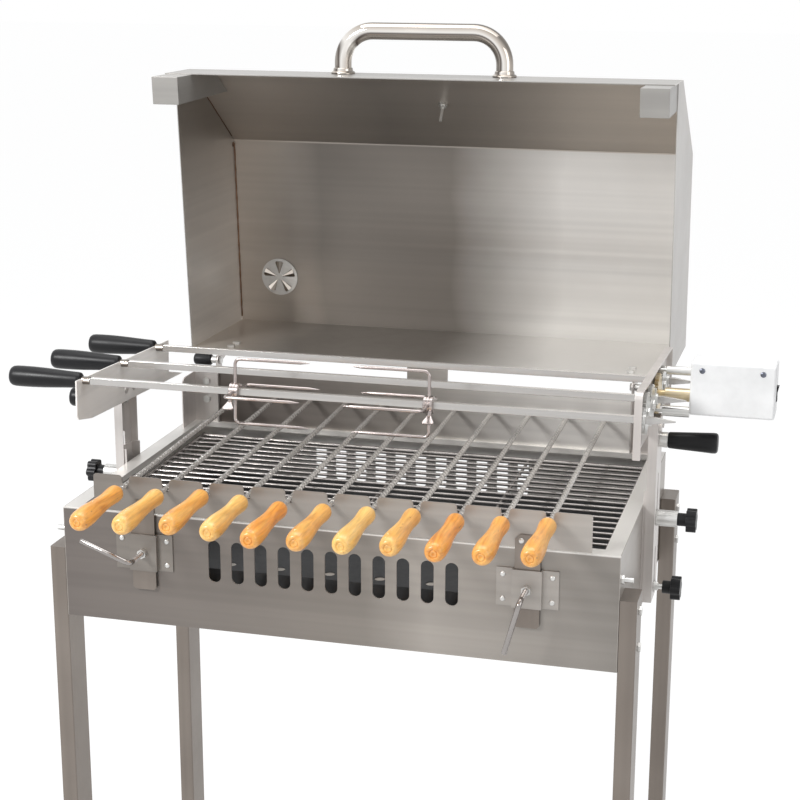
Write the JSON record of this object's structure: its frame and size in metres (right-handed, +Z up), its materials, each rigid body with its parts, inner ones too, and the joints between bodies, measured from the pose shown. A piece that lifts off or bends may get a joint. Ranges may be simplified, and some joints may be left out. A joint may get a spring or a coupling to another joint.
{
  "type": "spit roaster grill",
  "caption": "Charcoal grill on four legs with an open hinged hood, skewers on notched rests, motor driven spits with a gear train, and height adjustable side columns.",
  "frame": {"origin": "middle of the underside of the whole object's box, on the floor the feet stand on", "axes": "+X to the right along the fire box towards the motor, +Y back from the skewers' handles to the hood, +Z up"},
  "size_m": [1.1512, 0.9782, 1.5431],
  "materials": {
    "stainless": "brushed, satin",
    "leg_steel": "brushed, satin",
    "fastener_steel": "zinc plated, satin",
    "bright_steel": "polished",
    "spit_steel": "drawn bar, satin",
    "gear_brass": "machined",
    "black_plastic": "gloss",
    "cap_plastic": "matt",
    "dark_steel": "matt, heat proof",
    "white_shell": "satin",
    "beech": "varnished"
  },
  "bodies": {
    "frame": {"firebox": "stainless", "charcoal_tray": "dark_steel", "legs": "leg_steel", "foot_caps": "cap_plastic", "frame_bolts": "fastener_steel", "guide_brackets": "stainless", "column_guides": "stainless", "column_studs": "fastener_steel", "rear_posts": "stainless", "rear_plate": "stainless", "hinge_pins": "spit_steel"},
    "hood": {"hood_shell": "stainless", "hood_feet": "stainless", "hood_handle": "bright_steel", "thermometer": "bright_steel", "hood_leaves": "stainless", "hood_bolts": "fastener_steel"},
    "vent": {"vent_disc": "stainless"},
    "grate": {"cooking_grate": "bright_steel"},
    "rest": {"skewer_rest": "stainless", "rest_tongues": "stainless", "tongue_screws": "fastener_steel"},
    "clamp_left": {"clamp_screw_left": "bright_steel"},
    "clamp_right": {"clamp_screw_right": "bright_steel"},
    "knob_upper_left": {"knob_upper_left": "black_plastic"},
    "knob_upper_right": {"knob_upper_right": "black_plastic"},
    "knob_lower_left": {"knob_lower_left": "black_plastic"},
    "knob_lower_right": {"knob_lower_right": "black_plastic"},
    "left_column": {"slide_left": "stainless", "spit_plate_left": "stainless", "lift_handle_left": "black_plastic"},
    "right_column": {"slide_right": "stainless", "gear_plate": "stainless", "gear_plate_studs": "fastener_steel", "motor_box": "white_shell", "lift_handle_right": "black_plastic"},
    "rocker": {"rocker_switch": "black_plastic"},
    "front_spit": {"spit_front": "spit_steel", "spit_gear_front": "gear_brass"},
    "middle_spit": {"spit_middle": "spit_steel", "spit_gear_middle": "gear_brass"},
    "rear_spit": {"spit_rear": "spit_steel", "spit_gear_rear": "gear_brass"},
    "drive": {"drive_gear": "gear_brass"},
    "idler_1": {"idler_gear_1": "gear_brass"},
    "idler_2": {"idler_gear_2": "gear_brass"},
    "idler_3": {"idler_gear_3": "gear_brass"},
    "left_fork": {"fork_left": "bright_steel"},
    "right_fork": {"fork_right": "bright_steel"},
    "skewer_01": {"skewer_01": "beech"},
    "skewer_02": {"skewer_02": "beech"},
    "skewer_03": {"skewer_03": "beech"},
    "skewer_04": {"skewer_04": "beech"},
    "skewer_05": {"skewer_05": "beech"},
    "skewer_06": {"skewer_06": "beech"},
    "skewer_07": {"skewer_07": "beech"},
    "skewer_08": {"skewer_08": "beech"},
    "skewer_09": {"skewer_09": "beech"},
    "skewer_10": {"skewer_10": "beech"},
    "skewer_11": {"skewer_11": "beech"}
  },
  "joints": [
    {"name": "hood_hinge", "type": "hinge", "parent": "frame", "child": "hood", "pos_m": [-0.03395, 0.20804, 0.96], "axis": [1, 0, 0], "range_deg": [0, 62]},
    {"name": "vent_turn", "type": "hinge", "parent": "hood", "child": "vent", "pos_m": [-0.37295, 0.47171, 1.06111], "axis": [0, 0.9965, 0.0837], "range_deg": [-36, 36]},
    {"name": "grate_lift", "type": "slide", "parent": "frame", "child": "grate", "axis": [0, 0, 1], "range_m": [0, 0.05]},
    {"name": "rest_slide", "type": "slide", "parent": "frame", "child": "rest", "axis": [0, 0, 1], "range_m": [-0.03, 0]},
    {"name": "clamp_turn_left", "type": "hinge", "parent": "frame", "child": "clamp_left", "pos_m": [-0.32395, -0.33996, 0.7915], "axis": [0, 1, 0], "range_deg": [-90, 90]},
    {"name": "clamp_turn_right", "type": "hinge", "parent": "frame", "child": "clamp_right", "pos_m": [0.25605, -0.33996, 0.7915], "axis": [0, 1, 0], "range_deg": [-90, 90]},
    {"name": "knob_turn_upper_left", "type": "hinge", "parent": "frame", "child": "knob_upper_left", "pos_m": [-0.51895, -0.04496, 0.823], "axis": [1, 0, 0], "continuous": true},
    {"name": "knob_turn_lower_left", "type": "hinge", "parent": "frame", "child": "knob_lower_left", "pos_m": [-0.49895, -0.04496, 0.712], "axis": [1, 0, 0], "continuous": true},
    {"name": "knob_turn_upper_right", "type": "hinge", "parent": "frame", "child": "knob_upper_right", "pos_m": [0.45105, -0.04496, 0.823], "axis": [1, 0, 0], "continuous": true},
    {"name": "knob_turn_lower_right", "type": "hinge", "parent": "frame", "child": "knob_lower_right", "pos_m": [0.43105, -0.04496, 0.712], "axis": [1, 0, 0], "continuous": true},
    {"name": "right_column_slide", "type": "slide", "parent": "frame", "child": "right_column", "axis": [0, 0, 1], "range_m": [-0.06, 0]},
    {"name": "left_column_slide", "type": "slide", "parent": "frame", "child": "left_column", "axis": [0, 0, 1], "range_m": [-0.06, 0]},
    {"name": "rocker_tilt", "type": "hinge", "parent": "right_column", "child": "rocker", "pos_m": [0.56855, -0.04419, 1.03003], "axis": [0, 0.999, -0.0454], "range_deg": [-14, 0]},
    {"name": "front_spit_spin", "type": "hinge", "parent": "right_column", "child": "front_spit", "pos_m": [-0.03395, -0.21669, 1.02285], "axis": [1, 0, 0], "continuous": true},
    {"name": "middle_spit_spin", "type": "hinge", "parent": "right_column", "child": "middle_spit", "pos_m": [-0.03395, -0.07284, 1.01631], "axis": [1, 0, 0], "continuous": true},
    {"name": "rear_spit_spin", "type": "hinge", "parent": "right_column", "child": "rear_spit", "pos_m": [-0.03395, 0.07101, 1.00978], "axis": [1, 0, 0], "continuous": true},
    {"name": "drive_spin", "type": "hinge", "parent": "right_column", "child": "drive", "pos_m": [0.39605, -0.02969, 1.01435], "axis": [1, 0, 0], "continuous": true},
    {"name": "idler_1_spin", "type": "hinge", "parent": "right_column", "child": "idler_1", "pos_m": [0.39605, -0.17354, 1.02089], "axis": [1, 0, 0], "continuous": true},
    {"name": "idler_2_spin", "type": "hinge", "parent": "right_column", "child": "idler_2", "pos_m": [0.39605, -0.116, 1.01827], "axis": [1, 0, 0], "continuous": true},
    {"name": "idler_3_spin", "type": "hinge", "parent": "right_column", "child": "idler_3", "pos_m": [0.39605, 0.02786, 1.01174], "axis": [1, 0, 0], "continuous": true},
    {"name": "left_fork_slide", "type": "slide", "parent": "front_spit", "child": "left_fork", "axis": [1, 0, 0], "range_m": [-0.18, 0.03]},
    {"name": "right_fork_slide", "type": "slide", "parent": "front_spit", "child": "right_fork", "axis": [1, 0, 0], "range_m": [-0.03, 0.2]},
    {"name": "skewer_01_turn", "type": "hinge", "parent": "frame", "child": "skewer_01", "pos_m": [-0.34995, -0.31146, 0.893], "axis": [0, 0.9998, 0.0209], "continuous": true},
    {"name": "skewer_02_turn", "type": "hinge", "parent": "frame", "child": "skewer_02", "pos_m": [-0.28635, -0.31146, 0.893], "axis": [0, 0.9998, 0.0209], "continuous": true},
    {"name": "skewer_03_turn", "type": "hinge", "parent": "frame", "child": "skewer_03", "pos_m": [-0.22275, -0.31146, 0.893], "axis": [0, 0.9998, 0.0209], "continuous": true},
    {"name": "skewer_04_turn", "type": "hinge", "parent": "frame", "child": "skewer_04", "pos_m": [-0.15915, -0.31146, 0.893], "axis": [0, 0.9998, 0.0209], "continuous": true},
    {"name": "skewer_05_turn", "type": "hinge", "parent": "frame", "child": "skewer_05", "pos_m": [-0.09555, -0.31146, 0.893], "axis": [0, 0.9998, 0.0209], "continuous": true},
    {"name": "skewer_06_turn", "type": "hinge", "parent": "frame", "child": "skewer_06", "pos_m": [-0.03195, -0.31146, 0.893], "axis": [0, 0.9998, 0.0209], "continuous": true},
    {"name": "skewer_07_turn", "type": "hinge", "parent": "frame", "child": "skewer_07", "pos_m": [0.03165, -0.31146, 0.893], "axis": [0, 0.9998, 0.0209], "continuous": true},
    {"name": "skewer_08_turn", "type": "hinge", "parent": "frame", "child": "skewer_08", "pos_m": [0.09525, -0.31146, 0.893], "axis": [0, 0.9998, 0.0209], "continuous": true},
    {"name": "skewer_09_turn", "type": "hinge", "parent": "frame", "child": "skewer_09", "pos_m": [0.15885, -0.31146, 0.893], "axis": [0, 0.9998, 0.0209], "continuous": true},
    {"name": "skewer_10_turn", "type": "hinge", "parent": "frame", "child": "skewer_10", "pos_m": [0.22245, -0.31146, 0.893], "axis": [0, 0.9998, 0.0209], "continuous": true},
    {"name": "skewer_11_turn", "type": "hinge", "parent": "frame", "child": "skewer_11", "pos_m": [0.28605, -0.31146, 0.893], "axis": [0, 0.9998, 0.0209], "continuous": true}
  ],
  "couplings": [
    {"joint": "left_column_slide", "follows": "right_column_slide", "ratio": 1},
    {"joint": "idler_1_spin", "follows": "front_spit_spin", "ratio": -0.5},
    {"joint": "idler_2_spin", "follows": "front_spit_spin", "ratio": 0.5},
    {"joint": "middle_spit_spin", "follows": "front_spit_spin", "ratio": -1},
    {"joint": "drive_spin", "follows": "front_spit_spin", "ratio": 0.5},
    {"joint": "idler_3_spin", "follows": "front_spit_spin", "ratio": -0.5},
    {"joint": "rear_spit_spin", "follows": "front_spit_spin", "ratio": 1}
  ]
}
